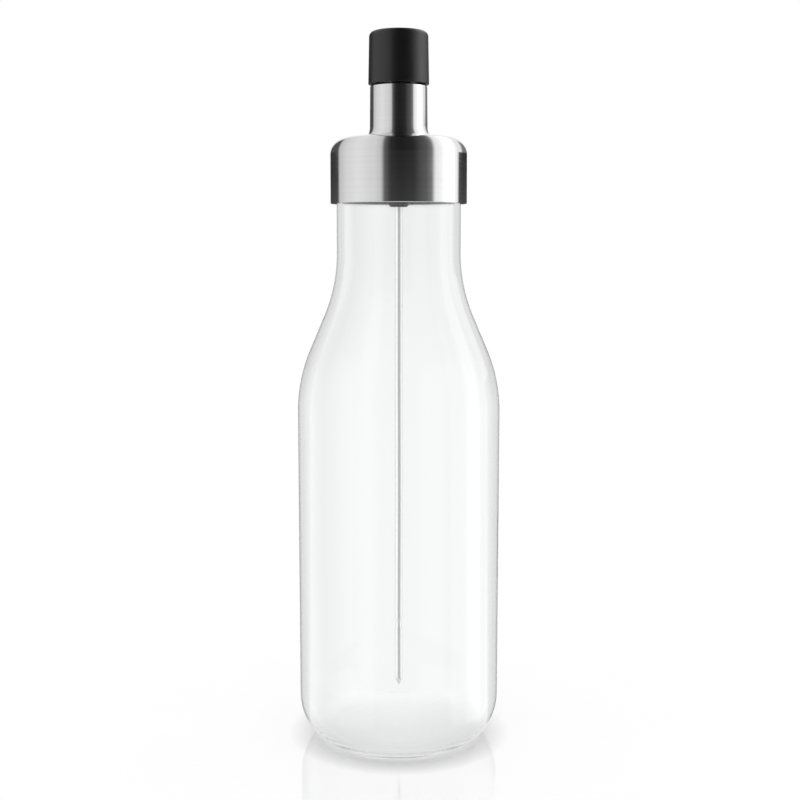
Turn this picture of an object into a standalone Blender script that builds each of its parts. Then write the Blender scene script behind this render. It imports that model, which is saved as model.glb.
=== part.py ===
"""Oil dispenser bottle: a blown glass bottle, a steel pouring lid over a moulded stopper, a black cap
over the pouring nozzle, and a steel skewer that hangs from the stopper and holds herbs in the oil.

Metres, +Z up. The origin is the middle of the base, on the surface that the bottle stands on. Every
radius is measured from the bottle's upright axis. The glass has its heights above that surface, the
lid's pieces have theirs above the glass rim, the cap's above the spout's edge, and the skewer's
above the mouth of its socket.
"""

from math import cos, pi, radians, sin, sqrt

import bmesh
import bpy
from mathutils import Matrix

# Gaps between touching pieces, and how far a join or a cut runs past a face
GAP = 0.0003
OVERRUN = 0.0006
MERGE_DISTANCE = 0.000002

# Steps round a full turn: the wide pieces, the narrow ones and the thin rod
WIDE_STEPS = 40
NARROW_STEPS = 32
ROD_STEPS = 16

# Glass bottle
GLASS_HEIGHT = 0.2076
BODY_RADIUS = 0.0360
NECK_RADIUS = 0.0218
GLASS_WALL = 0.0020
BASE_THICKNESS = 0.0035
FLOOR_RISE = 0.0006
HEEL_WIDTH = 0.0110
HEEL_HEIGHT = 0.0150
FOOT_WIDTH = 0.0070
DISH_DEPTH = 0.0008
SHOULDER_ARC = 0.0560
SHOULDER_SLOPE = radians(23)
NECK_ARC = 0.0570
NECK_LENGTH = 0.03256

# Steel lid shell, drawn in one with its spout
STEEL_WALL = 0.0008
SKIRT_CLEARANCE = 0.00135
LID_CORNER = 0.0056
SKIRT_HEIGHT = 0.0227
SPOUT_HEIGHT = 0.0180
SPOUT_TAPER = 0.00015
SPOUT_FILLET = 0.0038
SPOUT_EDGE = 0.0007

# Rim gasket
GASKET_THICKNESS = 0.0012
GASKET_OVERHANG = 0.0004

# Moulded stopper
FLANGE_THICKNESS = 0.0025
PLUG_LENGTH = 0.0154
PLUG_CLEARANCE = 0.0008
PLUG_WALL = 0.0026
PLUG_CHAMFER = 0.0006
HOLDER_STEP = 0.0008
FUNNEL_DROP = 0.0008
FUNNEL_HEIGHT = 0.0020
TOWER_WALL = 0.0010
RIB_COUNT = 6
RIB_HEIGHT = 0.0017
RIB_WIDTH = 0.0016

# Seal rings on the stopper
SEAL_DEPTHS = (0.0030, 0.0085)
SEAL_GROOVE_DEPTH = 0.0010
SEAL_GROOVE_HEIGHT = 0.0028
SEAL_LIP_HEIGHT = 0.0008

# Pouring nozzle
NOZZLE_RADIUS = 0.0076
NOZZLE_WALL = 0.0008
NOZZLE_POCKET = 0.0100
NOZZLE_REACH = 0.0138
NOZZLE_FLARE = 0.0006

# Skewer holder
HOLDER_RING_HEIGHT = 0.0030
HOLDER_RING_WALL = 0.0015
SPOKE_COUNT = 3
SPOKE_WIDTH = 0.0020
SPOKE_HEIGHT = 0.0024
HUB_WALL = 0.0024
HUB_CHAMFER = 0.00145
HUB_CROWN = 0.0010
HUB_ROOF = 0.0015
HUB_DROP = 0.0031

# Cap and its seal
CAP_WALL = 0.00175
CAP_ROOF = 0.0020
CAP_TAPER = 0.00035
CAP_CORNER = 0.0023
CAP_MOUTH_CHAMFER = 0.0003
SEAL_DISC_THICKNESS = 0.0019
SEAL_PLUG_LENGTH = 0.0036
SEAL_PLUG_TAPER = 0.0003
SEAL_PLUG_WALL = 0.0012

# Skewer
SKEWER_RADIUS = 0.0014
SKEWER_HEAD_STEP = 0.0003
SKEWER_HEAD_LENGTH = 0.0047
SKEWER_HEAD_RECESS = 0.0010
POINT_CLEARANCE = 0.0131
POINT_LENGTH = 0.0024
POINT_FLAT = 0.0002
GROOVE_ABOVE_TIP = 0.0215
GROOVE_LENGTH = 0.0029
GROOVE_DEPTH = 0.0003

# Heights above the glass rim
gasket_bottom = GAP
gasket_top = gasket_bottom + GASKET_THICKNESS
flange_bottom = gasket_top + GAP
flange_top = flange_bottom + FLANGE_THICKNESS
rib_top = flange_top + RIB_HEIGHT
shell_top = rib_top + GAP + STEEL_WALL
skirt_bottom = shell_top - SKIRT_HEIGHT
spout_top = shell_top + SPOUT_HEIGHT
tower_top = spout_top - STEEL_WALL - GAP
plug_bottom = flange_bottom - PLUG_LENGTH
funnel_bottom = flange_bottom - FUNNEL_DROP
funnel_top = funnel_bottom + FUNNEL_HEIGHT
pocket_floor = tower_top - NOZZLE_POCKET
nozzle_bottom = pocket_floor + GAP
nozzle_top = spout_top + NOZZLE_REACH
socket_mouth = plug_bottom - HUB_DROP
socket_depth = SKEWER_HEAD_RECESS + SKEWER_HEAD_LENGTH + GAP

# Heights in the glass, above the base
floor_height = BASE_THICKNESS + FLOOR_RISE
point_height = floor_height + POINT_CLEARANCE

# Radii that follow from the neck, the nozzle and the skewer
lid_radius = NECK_RADIUS + SKIRT_CLEARANCE + STEEL_WALL
bore_radius = NECK_RADIUS - GLASS_WALL
plug_radius = bore_radius - PLUG_CLEARANCE
seat_radius = plug_radius - PLUG_WALL
hollow_radius = seat_radius - HOLDER_STEP
pocket_radius = NOZZLE_RADIUS + GAP
pour_radius = NOZZLE_RADIUS - NOZZLE_WALL
tower_radius = pocket_radius + TOWER_WALL
spout_top_radius = tower_radius + GAP + STEEL_WALL
spout_radius = spout_top_radius + SPOUT_TAPER
lip_radius = NOZZLE_RADIUS + NOZZLE_FLARE
cap_bore_radius = lip_radius + GAP
cap_top_radius = cap_bore_radius + CAP_WALL
cap_radius = cap_top_radius + CAP_TAPER
skewer_head_radius = SKEWER_RADIUS + SKEWER_HEAD_STEP
socket_radius = skewer_head_radius + GAP
hub_radius = socket_radius + HUB_WALL


def material(name, colour, roughness, metallic, transmission=0):
    """A surface of one colour, as it looks on the real piece."""
    made = bpy.data.materials.new(name)
    made.use_nodes = True
    surface = made.node_tree.nodes["Principled BSDF"]
    surface.inputs["Base Color"].default_value = (*colour, 1)
    surface.inputs["Roughness"].default_value = roughness
    surface.inputs["Metallic"].default_value = metallic
    surface.inputs["Transmission Weight"].default_value = transmission
    made.diffuse_color = (*colour, 1)
    return made


def arc(centre, radii, start, end, steps):
    """Points on an arc about centre, an ellipse where the two radii differ, with angles in degrees."""
    turns = [radians(start + (end - start) * step / steps) for step in range(steps + 1)]
    return [(centre[0] + radii[0] * cos(turn), centre[1] + radii[1] * sin(turn)) for turn in turns]


def placed(name, shape, surface, parent):
    """An object made of a finished shape, with smooth shading up to its real edges."""
    mesh = bpy.data.meshes.new(name)
    shape.to_mesh(mesh)
    shape.free()
    mesh.shade_smooth()
    mesh.set_sharp_from_angle(angle=radians(32))
    mesh.materials.append(surface)
    made = bpy.data.objects.new(name, mesh)
    bpy.context.collection.objects.link(made)
    made.parent = parent
    return made


def turned(name, outline, steps, surface, parent):
    """A body of revolution. Its outline is a list of (radius, height) points, closed by itself or
    by the axis."""
    shape = bmesh.new()
    points = [shape.verts.new((radius, 0, height)) for radius, height in outline]
    loop = points if outline[0][0] == 0 else points + points[:1]
    edges = [shape.edges.new(pair) for pair in zip(loop, loop[1:])]
    bmesh.ops.spin(
        shape, geom=points + edges, cent=(0, 0, 0), axis=(0, 0, 1), angle=2 * pi, steps=steps
    )
    bmesh.ops.remove_doubles(shape, verts=shape.verts, dist=MERGE_DISTANCE)
    bmesh.ops.recalc_face_normals(shape, faces=shape.faces)
    return placed(name, shape, surface, parent)


def radial_bars(name, count, inner, outer, width, bottom, top, surface, parent):
    """Straight bars set round the axis like the spokes of a wheel, from one radius to another."""
    shape = bmesh.new()
    middle = Matrix.Translation(((inner + outer) / 2, 0, (bottom + top) / 2))
    size = Matrix.Diagonal((outer - inner, width, top - bottom, 1))
    for number in range(count):
        turn = Matrix.Rotation(pi / 2 + 2 * pi * number / count, 4, "Z")
        bmesh.ops.create_cube(shape, size=1, matrix=turn @ middle @ size)
    return placed(name, shape, surface, parent)


def join(body, other):
    """Fuses another shape to a body. The other shape stays as a hidden guide."""
    union = body.modifiers.new("with " + other.name, "BOOLEAN")
    union.operation = "UNION"
    union.solver = "EXACT"
    union.object = other
    other.hide_render = True
    other.display_type = "WIRE"


def empty(name, height, parent):
    """A pivot on the upright axis, which the pieces of one moving body hang on."""
    pivot = bpy.data.objects.new(name, None)
    bpy.context.collection.objects.link(pivot)
    pivot.empty_display_size = BODY_RADIUS
    pivot.location = (0, 0, height)
    pivot.parent = parent
    return pivot


def glass_side(depth):
    """The side of the bottle from shoulder to neck, on the surface that lies depth inside the glass:
    an outward arc, a straight slope and an inward arc that meet without a corner."""
    arcs = SHOULDER_ARC + NECK_ARC
    slope_length = (
        BODY_RADIUS - NECK_RADIUS - arcs * (1 - cos(SHOULDER_SLOPE))
    ) / sin(SHOULDER_SLOPE)
    neck_start = GLASS_HEIGHT - NECK_LENGTH
    shoulder_start = neck_start - arcs * sin(SHOULDER_SLOPE) - slope_length * cos(SHOULDER_SLOPE)
    shoulder_radius = SHOULDER_ARC - depth
    neck_radius = NECK_ARC + depth
    slope = SHOULDER_SLOPE * 180 / pi
    shoulder = arc(
        (BODY_RADIUS - SHOULDER_ARC, shoulder_start), (shoulder_radius, shoulder_radius), 0, slope, 5
    )
    neck = arc(
        (NECK_RADIUS + NECK_ARC, neck_start), (neck_radius, neck_radius), 180 + slope, 180, 5
    )
    return shoulder + neck


def glass_bottle(surface):
    """The blown bottle: a dished base on a flat foot ring, a rounded heel, a straight body, a long
    shoulder and a wide neck with a fire-polished rim."""
    foot_radius = BODY_RADIUS - HEEL_WIDTH
    heel_centre = (foot_radius, HEEL_HEIGHT)
    rim_radius = GLASS_WALL / 2
    rim_centre = (NECK_RADIUS - rim_radius, GLASS_HEIGHT - rim_radius)
    inner_heel = (HEEL_WIDTH - GLASS_WALL, HEEL_HEIGHT - BASE_THICKNESS)
    dish_radius = foot_radius - FOOT_WIDTH
    dish = [
        (dish_radius * sin(turn), DISH_DEPTH * cos(turn))
        for turn in (radians(degrees) for degrees in (0, 30, 60, 90))
    ]
    outside = dish + arc(heel_centre, (HEEL_WIDTH, HEEL_HEIGHT), -90, 0, 6) + glass_side(0)
    rim = arc(rim_centre, (rim_radius, rim_radius), 0, 180, 4)
    inside = glass_side(GLASS_WALL)[::-1] + arc(heel_centre, inner_heel, 0, -90, 5)
    outline = outside + rim + inside + [(0, floor_height)]
    return turned("glass_bottle", outline, WIDE_STEPS, surface, None)


def lid_shell(surface, parent):
    """The steel cover: a straight skirt round the glass rim, a rounded corner, a flat top and a
    spout drawn up from it, whose edge turns in to the nozzle."""
    corner_centre = (lid_radius - LID_CORNER, shell_top - LID_CORNER)
    fillet_centre = (spout_radius + SPOUT_FILLET, shell_top + SPOUT_FILLET)
    edge_centre = (spout_top_radius - SPOUT_EDGE, spout_top - SPOUT_EDGE)
    inner_corner = LID_CORNER - STEEL_WALL
    inner_fillet = SPOUT_FILLET + STEEL_WALL
    outside = (
        [(lid_radius, skirt_bottom)]
        + arc(corner_centre, (LID_CORNER, LID_CORNER), 0, 90, 5)
        + arc(fillet_centre, (SPOUT_FILLET, SPOUT_FILLET), 270, 180, 5)
        + arc(edge_centre, (SPOUT_EDGE, SPOUT_EDGE), 0, 90, 2)
    )
    turned_edge = [(pocket_radius, spout_top), (pocket_radius, spout_top - STEEL_WALL)]
    inside = (
        [(spout_top_radius - STEEL_WALL, spout_top - STEEL_WALL)]
        + arc(fillet_centre, (inner_fillet, inner_fillet), 180, 270, 5)
        + arc(corner_centre, (inner_corner, inner_corner), 90, 0, 5)
        + [(lid_radius - STEEL_WALL, skirt_bottom)]
    )
    return turned("lid_shell", outside + turned_edge + inside, WIDE_STEPS, surface, parent)


def flange_edge():
    """The flange's rim, which runs beside the rounded inner corner of the steel cover."""
    centre_radius = lid_radius - LID_CORNER
    centre_height = shell_top - LID_CORNER
    reach = LID_CORNER - STEEL_WALL - GAP
    steps = 3
    heights = [flange_top - FLANGE_THICKNESS * step / steps for step in range(steps + 1)]
    lifts = [max(0, height - centre_height) for height in heights]
    return [
        (centre_radius + sqrt(reach**2 - lift**2), height) for lift, height in zip(lifts, heights)
    ]


def seal_grooves():
    """The outside of the plug from top to bottom, with a square groove for each seal ring."""
    floor_radius = plug_radius - SEAL_GROOVE_DEPTH
    points = []
    for depth in SEAL_DEPTHS:
        points += [
            (plug_radius, -depth),
            (floor_radius, -depth),
            (floor_radius, -depth - SEAL_GROOVE_HEIGHT),
            (plug_radius, -depth - SEAL_GROOVE_HEIGHT),
        ]
    return points


def stopper_body(surface, parent):
    """The moulded stopper: a flange over the glass rim, a hollow plug in the neck with two seal
    grooves, a funnel that drains back into the bottle, a tower inside the steel spout with a pocket
    for the nozzle, and ribs that carry the steel cover."""
    outside = (
        [(tower_radius, tower_top), (tower_radius, flange_top)]
        + flange_edge()
        + [(plug_radius, flange_bottom)]
        + seal_grooves()
        + [(plug_radius, plug_bottom + PLUG_CHAMFER), (plug_radius - PLUG_CHAMFER, plug_bottom)]
    )
    holder_seat = plug_bottom + HOLDER_RING_HEIGHT + GAP
    inside = [
        (seat_radius, plug_bottom),
        (seat_radius, holder_seat),
        (hollow_radius, holder_seat),
        (hollow_radius, funnel_bottom),
        (pour_radius, funnel_top),
        (pour_radius, pocket_floor),
        (pocket_radius, pocket_floor),
        (pocket_radius, tower_top),
    ]
    stopper = turned("stopper_body", outside + inside, WIDE_STEPS, surface, parent)
    ribs = radial_bars(
        "stopper_ribs",
        RIB_COUNT,
        tower_radius - OVERRUN,
        lid_radius - LID_CORNER,
        RIB_WIDTH,
        flange_top - OVERRUN,
        rib_top,
        surface,
        parent,
    )
    join(stopper, ribs)
    return stopper


def seal_ring(name, depth, surface, parent):
    """A soft ring in a groove of the plug, with a lip that reaches the glass."""
    inner = plug_radius - SEAL_GROOVE_DEPTH + GAP
    lip = bore_radius - GAP
    top = -depth - GAP
    bottom = -depth - SEAL_GROOVE_HEIGHT + GAP
    middle = (top + bottom) / 2
    outline = [
        (inner, bottom),
        (plug_radius, bottom),
        (lip, middle - SEAL_LIP_HEIGHT / 2),
        (lip, middle + SEAL_LIP_HEIGHT / 2),
        (plug_radius, top),
        (inner, top),
    ]
    return turned(name, outline, WIDE_STEPS, surface, parent)


def rim_gasket(surface, parent):
    """The flat ring between the glass rim and the stopper's flange."""
    inner = plug_radius + GAP
    outer = NECK_RADIUS + GASKET_OVERHANG
    outline = [
        (inner, gasket_bottom),
        (outer, gasket_bottom),
        (outer, gasket_top),
        (inner, gasket_top),
    ]
    return turned("rim_gasket", outline, WIDE_STEPS, surface, parent)


def pour_nozzle(surface, parent):
    """The steel tube that the oil leaves by. Its mouth curls outwards to a lip that cuts the drip."""
    curl_centre = (lip_radius, nozzle_top - NOZZLE_WALL - NOZZLE_FLARE)
    top_curl = NOZZLE_FLARE + NOZZLE_WALL
    outline = (
        [(pour_radius, nozzle_bottom), (NOZZLE_RADIUS, nozzle_bottom)]
        + arc(curl_centre, (NOZZLE_FLARE, NOZZLE_FLARE), 180, 90, 3)
        + arc(curl_centre, (top_curl, top_curl), 90, 180, 4)
    )
    return turned("pour_nozzle", outline, NARROW_STEPS, surface, parent)


def skewer_holder(surface, parent):
    """The spider at the foot of the stopper: a ring, three spokes with room for the oil between
    them, and a hub whose boss shows under the lid and takes the skewer's head."""
    ring_radius = seat_radius - GAP
    ring_inner = ring_radius - HOLDER_RING_WALL
    ring_top = plug_bottom + HOLDER_RING_HEIGHT
    hub_top = socket_mouth + socket_depth + HUB_ROOF
    ring = [
        (ring_inner, plug_bottom),
        (ring_radius, plug_bottom),
        (ring_radius, ring_top),
        (ring_inner, ring_top),
    ]
    hub = [
        (0, hub_top),
        (hub_radius - HUB_CROWN, hub_top),
        (hub_radius, hub_top - HUB_CROWN),
        (hub_radius, socket_mouth + HUB_CHAMFER),
        (hub_radius - HUB_CHAMFER, socket_mouth),
        (socket_radius, socket_mouth),
        (socket_radius, socket_mouth + socket_depth),
        (0, socket_mouth + socket_depth),
    ]
    holder = turned("skewer_holder", ring, NARROW_STEPS, surface, parent)
    boss = turned("holder_hub", hub, NARROW_STEPS, surface, parent)
    spokes = radial_bars(
        "holder_spokes",
        SPOKE_COUNT,
        (socket_radius + hub_radius) / 2,
        ring_inner + HOLDER_RING_WALL / 2,
        SPOKE_WIDTH,
        ring_top - SPOKE_HEIGHT,
        ring_top - GAP,
        surface,
        parent,
    )
    join(holder, spokes)
    join(holder, boss)
    return holder


def cap_shell(surface, parent):
    """The matt cap that slips over the nozzle. It widens a little towards its mouth."""
    roof = NOZZLE_REACH + SEAL_DISC_THICKNESS + 2 * GAP
    top = roof + CAP_ROOF
    corner_centre = (cap_top_radius - CAP_CORNER, top - CAP_CORNER)
    outline = (
        [(0, top)]
        + arc(corner_centre, (CAP_CORNER, CAP_CORNER), 90, 0, 5)
        + [
            (cap_radius, GAP + CAP_MOUTH_CHAMFER),
            (cap_radius - CAP_MOUTH_CHAMFER, GAP),
            (cap_bore_radius, GAP),
            (cap_bore_radius, roof),
            (0, roof),
        ]
    )
    return turned("cap_shell", outline, NARROW_STEPS, surface, parent)


def cap_seal(surface, parent):
    """The soft seal inside the cap: a disc that lies on the nozzle's lip and a hollow plug that
    closes its bore."""
    disc_radius = cap_bore_radius - GAP
    disc_bottom = NOZZLE_REACH + GAP
    disc_top = disc_bottom + SEAL_DISC_THICKNESS
    plug_end = disc_bottom - SEAL_PLUG_LENGTH
    plug_root = pour_radius - GAP
    plug_tip = plug_root - SEAL_PLUG_TAPER
    outline = [
        (0, disc_top),
        (disc_radius, disc_top),
        (disc_radius, disc_bottom),
        (plug_root, disc_bottom),
        (plug_tip, plug_end),
        (plug_tip - SEAL_PLUG_WALL, plug_end),
        (plug_tip - SEAL_PLUG_WALL, disc_bottom),
        (0, disc_bottom),
    ]
    return turned("cap_seal", outline, NARROW_STEPS, surface, parent)


def skewer_rod(surface, parent):
    """The long steel skewer: a head inside the socket, a plain rod with one shallow groove near its
    lower end, and a ground point."""
    head_bottom = SKEWER_HEAD_RECESS
    head_top = head_bottom + SKEWER_HEAD_LENGTH
    tip = point_height - GLASS_HEIGHT - socket_mouth
    groove_bottom = tip + GROOVE_ABOVE_TIP
    groove_top = groove_bottom + GROOVE_LENGTH
    groove_radius = SKEWER_RADIUS - GROOVE_DEPTH
    outline = [
        (0, head_top),
        (skewer_head_radius, head_top),
        (skewer_head_radius, head_bottom),
        (SKEWER_RADIUS, head_bottom),
        (SKEWER_RADIUS, groove_top + GROOVE_DEPTH),
        (groove_radius, groove_top),
        (groove_radius, groove_bottom),
        (SKEWER_RADIUS, groove_bottom - GROOVE_DEPTH),
        (SKEWER_RADIUS, tip + POINT_LENGTH),
        (POINT_FLAT, tip),
        (0, tip),
    ]
    return turned("skewer_rod", outline, ROD_STEPS, surface, parent)


def build():
    """The whole bottle, each moving body on its own pivot."""
    for old in list(bpy.data.objects):
        bpy.data.objects.remove(old, do_unlink=True)

    glass = material("clear_glass", (0.93, 0.96, 0.95), 0.02, 0, 1)
    satin_steel = material("satin_steel", (0.70, 0.70, 0.69), 0.24, 1)
    bright_steel = material("bright_steel", (0.76, 0.76, 0.75), 0.12, 1)
    black_plastic = material("black_plastic", (0.018, 0.018, 0.019), 0.42, 0)
    matt_black = material("matt_black", (0.024, 0.024, 0.025), 0.62, 0)
    grey_silicone = material("grey_silicone", (0.10, 0.10, 0.10), 0.55, 0)

    glass_bottle(glass)

    lid = empty("lid_lift", GLASS_HEIGHT, None)
    lid_shell(satin_steel, lid)
    stopper_body(black_plastic, lid)
    for name, depth in zip(("upper_seal_ring", "lower_seal_ring"), SEAL_DEPTHS):
        seal_ring(name, depth, grey_silicone, lid)
    rim_gasket(grey_silicone, lid)
    pour_nozzle(bright_steel, lid)
    skewer_holder(black_plastic, lid)

    cap = empty("cap_lift", spout_top, lid)
    cap_shell(matt_black, cap)
    cap_seal(grey_silicone, cap)

    skewer = empty("skewer_draw", socket_mouth, lid)
    skewer_rod(bright_steel, skewer)


build()
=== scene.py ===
# %% [markdown]
# # An oil dispenser bottle, dressed for the camera
#
# The CAD part gives this bottle its size, its pieces and its joints. Here each CAD piece gets a finer
# twin with real edges and a real finish: blown glass, turned steel, matt plastic and soft silicone.
# Nearly all of them are round about one upright axis, so most of the work is drawing good profiles.
#
# We load the CAD part first and keep its box, because no finer piece may grow past it.

from math import radians, tan

import bmesh
import bpy
import numpy as np
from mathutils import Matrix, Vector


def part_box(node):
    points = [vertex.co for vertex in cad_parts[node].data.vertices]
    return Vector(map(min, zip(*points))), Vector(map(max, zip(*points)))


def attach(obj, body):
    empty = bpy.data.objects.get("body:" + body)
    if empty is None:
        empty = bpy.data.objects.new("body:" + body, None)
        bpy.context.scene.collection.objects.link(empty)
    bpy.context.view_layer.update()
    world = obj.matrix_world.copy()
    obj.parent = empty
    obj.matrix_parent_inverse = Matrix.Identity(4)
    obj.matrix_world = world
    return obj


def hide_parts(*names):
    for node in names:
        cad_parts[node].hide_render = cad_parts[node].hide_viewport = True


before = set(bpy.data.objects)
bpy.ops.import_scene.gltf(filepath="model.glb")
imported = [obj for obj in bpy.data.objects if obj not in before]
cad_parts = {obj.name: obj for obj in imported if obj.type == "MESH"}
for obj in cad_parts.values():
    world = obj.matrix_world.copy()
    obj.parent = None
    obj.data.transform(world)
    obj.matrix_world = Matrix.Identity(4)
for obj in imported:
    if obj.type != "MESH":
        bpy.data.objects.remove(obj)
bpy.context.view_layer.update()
print("CAD pieces:", ", ".join(sorted(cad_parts)))

# %% [markdown]
# ## Profiles with soft corners
#
# No real edge is perfectly sharp: glass is melted round, steel is rolled, plastic is moulded with a
# small radius. These small curves catch the light and tell the eye how big a thing is. One could add
# a Bevel modifier to each piece. A profile that is already rounded gives more control, because every
# corner can have its own radius.

# %% Round the corners of a profile
ARC_STEPS = 12
SIDE_SHARE = 0.49


def softened(corners, steps=ARC_STEPS):
    """Rounds a closed line of (radius, height, corner radius) rows. In each corner a circle touches
    both straight sides: with half the corner's angle h it touches them r / tan h away from the
    corner, and its centre lies r / sin h along the line that halves the angle. No corner takes
    more than SIDE_SHARE of its shorter side."""
    corners = np.array(corners, float)
    point, wanted = corners[:, :2], corners[:, 2]
    before = np.roll(point, 1, axis=0) - point
    after = np.roll(point, -1, axis=0) - point
    reach = np.minimum(np.linalg.norm(before, axis=1), np.linalg.norm(after, axis=1)) * SIDE_SHARE
    before /= np.maximum(np.linalg.norm(before, axis=1), 1e-12)[:, None]
    after /= np.maximum(np.linalg.norm(after, axis=1), 1e-12)[:, None]
    half = np.arccos(np.clip((before * after).sum(axis=1), -1, 1)) / 2
    touch = np.minimum(wanted / np.tan(half), reach)
    radius = touch * np.tan(half)
    middle = before + after
    middle /= np.maximum(np.linalg.norm(middle, axis=1), 1e-12)[:, None]
    centre = point + middle * (radius / np.sin(half))[:, None]
    first = point + before * touch[:, None] - centre
    last = point + after * touch[:, None] - centre
    start = np.arctan2(first[:, 1], first[:, 0])
    sweep = np.arctan2(last[:, 1], last[:, 0]) - start
    sweep = (sweep + np.pi) % (2 * np.pi) - np.pi
    turn = start[:, None] + sweep[:, None] * np.linspace(0, 1, steps + 1)
    arcs = centre[:, None] + radius[:, None, None] * np.stack((np.cos(turn), np.sin(turn)), axis=-1)
    arcs = np.where((radius > 1e-7)[:, None, None], arcs, point[:, None])
    return parted(arcs.reshape(-1, 2))


def parted(points, nearest=1e-7):
    """Leaves out each point that lies on the one before it."""
    step = np.linalg.norm(np.diff(points, axis=0, prepend=points[:1] - 1), axis=1)
    return points[step > nearest]


def arc(centre, radii, start, end, steps=ARC_STEPS):
    """Points on an arc about centre, an ellipse where the two radii differ: centre + radii times
    (cos, sin) of an angle that runs evenly from start to end, in degrees."""
    turn = np.radians(np.linspace(start, end, steps + 1))
    return np.stack((centre[0] + radii[0] * np.cos(turn), centre[1] + radii[1] * np.sin(turn)), axis=1)


square = softened([(0, 0, 2), (10, 0, 2), (10, 10, 2), (0, 10, 2)])
print("a square with soft corners has", len(square), "points")

# %% [markdown]
# ## From a profile to a piece
#
# A lathe carries one profile round an axis. We do the same with whole arrays: the profile's points
# run down the grid and the turns run across it. Smooth shading blends over every edge, so a long flat
# stretch beside a tiny arc would look swollen. A point just inside both ends of each long stretch
# keeps the blend on the arc.

# %% Turn a profile about the upright axis
TURNS = 192
HOLD = 0.00012


def held(points, closed):
    """Adds two points to every long stretch from P to Q: P + hold and Q - hold, along the stretch."""
    start = points if closed else points[:-1]
    end = np.roll(points, -1, axis=0)[: len(start)]
    length = np.linalg.norm(end - start, axis=1)
    along = (end - start) / length[:, None] * HOLD
    rows = np.stack((start, start + along, end - along), axis=1)
    long = length > 5 * HOLD
    kept = rows[np.stack((np.ones_like(long), long, long), axis=1)]
    return kept if closed else np.concatenate((kept, points[-1:]))


def lathe(profile, turns=TURNS, stray=None):
    """Carries (radius, height) points round the axis: x = r cos a, y = r sin a, z = height. The
    profile runs anticlockwise, up on the outside and down on the inside, so that every face looks
    outwards. stray gives a small change of radius for each row number, radius, height and angle."""
    profile = parted(np.array(profile, float))
    to_axis = profile[0, 0] < 1e-9 and profile[-1, 0] < 1e-9
    r, z = profile.T
    if (r * np.roll(z, -1) - np.roll(r, -1) * z).sum() < 0:
        profile = profile[::-1]
    profile = held(profile, not to_axis)
    angle = np.arange(turns) * 2 * np.pi / turns
    r, z = profile[:, :1], profile[:, 1:]
    if stray is not None:
        r = r + stray(np.arange(len(profile))[:, None], r, z, angle)
    grid = np.stack(np.broadcast_arrays(r * np.cos(angle), r * np.sin(angle), z), axis=-1)
    number = np.arange(grid.shape[0] * turns).reshape(-1, turns)
    here, above = number, np.roll(number, -1, axis=0)
    if to_axis:
        here, above = here[:-1], above[:-1]
    faces = np.stack((here, np.roll(here, -1, 1), np.roll(above, -1, 1), above), axis=-1)
    return grid.reshape(-1, 3), faces.reshape(-1, 4).tolist()


print("a plain tube has", len(lathe([(1, 0), (2, 0), (2, 3), (1, 3)])[1]), "faces")

# %% [markdown]
# Ribs and spokes aren't round. They are straight bars that stick out from the axis like the spokes of
# a wheel, so one bar is drawn by its section and copied round the circle.

# %% Set bars round the axis
def carried(section, start, end, count, offset=0.0):
    """Straight bars like the spokes of a wheel. A closed section of (sideways, height) points runs
    from radius start to radius end, and each bar is turned by an equal share of the circle."""
    sides, size = len(section), 2 * len(section)
    along = np.repeat([start, end], sides)
    bar = np.column_stack((along, np.tile(section, (2, 1))))
    turn = offset + np.arange(count)[:, None] * 2 * np.pi / count
    x = bar[:, 0] * np.cos(turn) - bar[:, 1] * np.sin(turn)
    y = bar[:, 0] * np.sin(turn) + bar[:, 1] * np.cos(turn)
    z = np.broadcast_to(bar[:, 2], x.shape)
    this = np.arange(sides)
    skin = np.stack((this, np.roll(this, -1), np.roll(this, -1) + sides, this + sides), axis=1)
    faces = []
    for shift in np.arange(count) * size:
        faces += (skin + shift).tolist()
        faces += [(this[::-1] + shift).tolist(), (this + sides + shift).tolist()]
    return np.stack((x, y, z), axis=-1).reshape(-1, 3), faces


print("four square bars have", len(carried([(0, 0), (1, 0), (1, 1), (0, 1)], 2, 5, 4)[1]), "faces")

# %% [markdown]
# ## One mesh for each piece
#
# A piece may be one turned shape or several, like a ring, a hub and its spokes. They become one mesh,
# shaded smooth except where two faces meet at a real edge. Its volume and its count of open edges are
# printed: a closed skin has none, and glass needs a closed skin to bend light correctly.

# %% Make a mesh of one or more shapes
SHARP = radians(38)


def piece(name, *shapes):
    """Puts shapes of (points, faces) into one mesh, merges the poles and shades it smooth."""
    points = np.concatenate([own for own, _ in shapes])
    counts = np.cumsum([0] + [len(own) for own, _ in shapes]).tolist()
    faces = []
    for first, (_, skin) in zip(counts, shapes):
        faces += [[corner + first for corner in face] for face in skin]
    mesh = bpy.data.meshes.new(name)
    mesh.from_pydata(points.tolist(), [], faces)
    whole = bmesh.new()
    whole.from_mesh(mesh)
    bmesh.ops.remove_doubles(whole, verts=whole.verts, dist=1e-7)
    volume = whole.calc_volume(signed=True)
    open_edges = sum(not edge.is_manifold for edge in whole.edges)
    whole.to_mesh(mesh)
    whole.free()
    mesh.shade_smooth()
    mesh.set_sharp_from_angle(angle=SHARP)
    made = bpy.data.objects.new(name, mesh)
    bpy.context.scene.collection.objects.link(made)
    print(f"{name}: {len(mesh.polygons)} faces, {volume * 1e6:.2f} ml, {open_edges} open edges")
    return made


def dressed(made, material, node, body):
    """Gives a piece its finish, lets it stand for its CAD node and ties it to the body it rides."""
    made.data.materials.append(material)
    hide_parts(node)
    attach(made, body)


# %% [markdown]
# ## Nodes in few words
#
# Every finish below is a small graph of nodes. A few helpers keep the cells short: one adds a node and
# fills in its sockets, others wrap the nodes that come again and again, and the last ones start a
# material or a node group.

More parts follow.
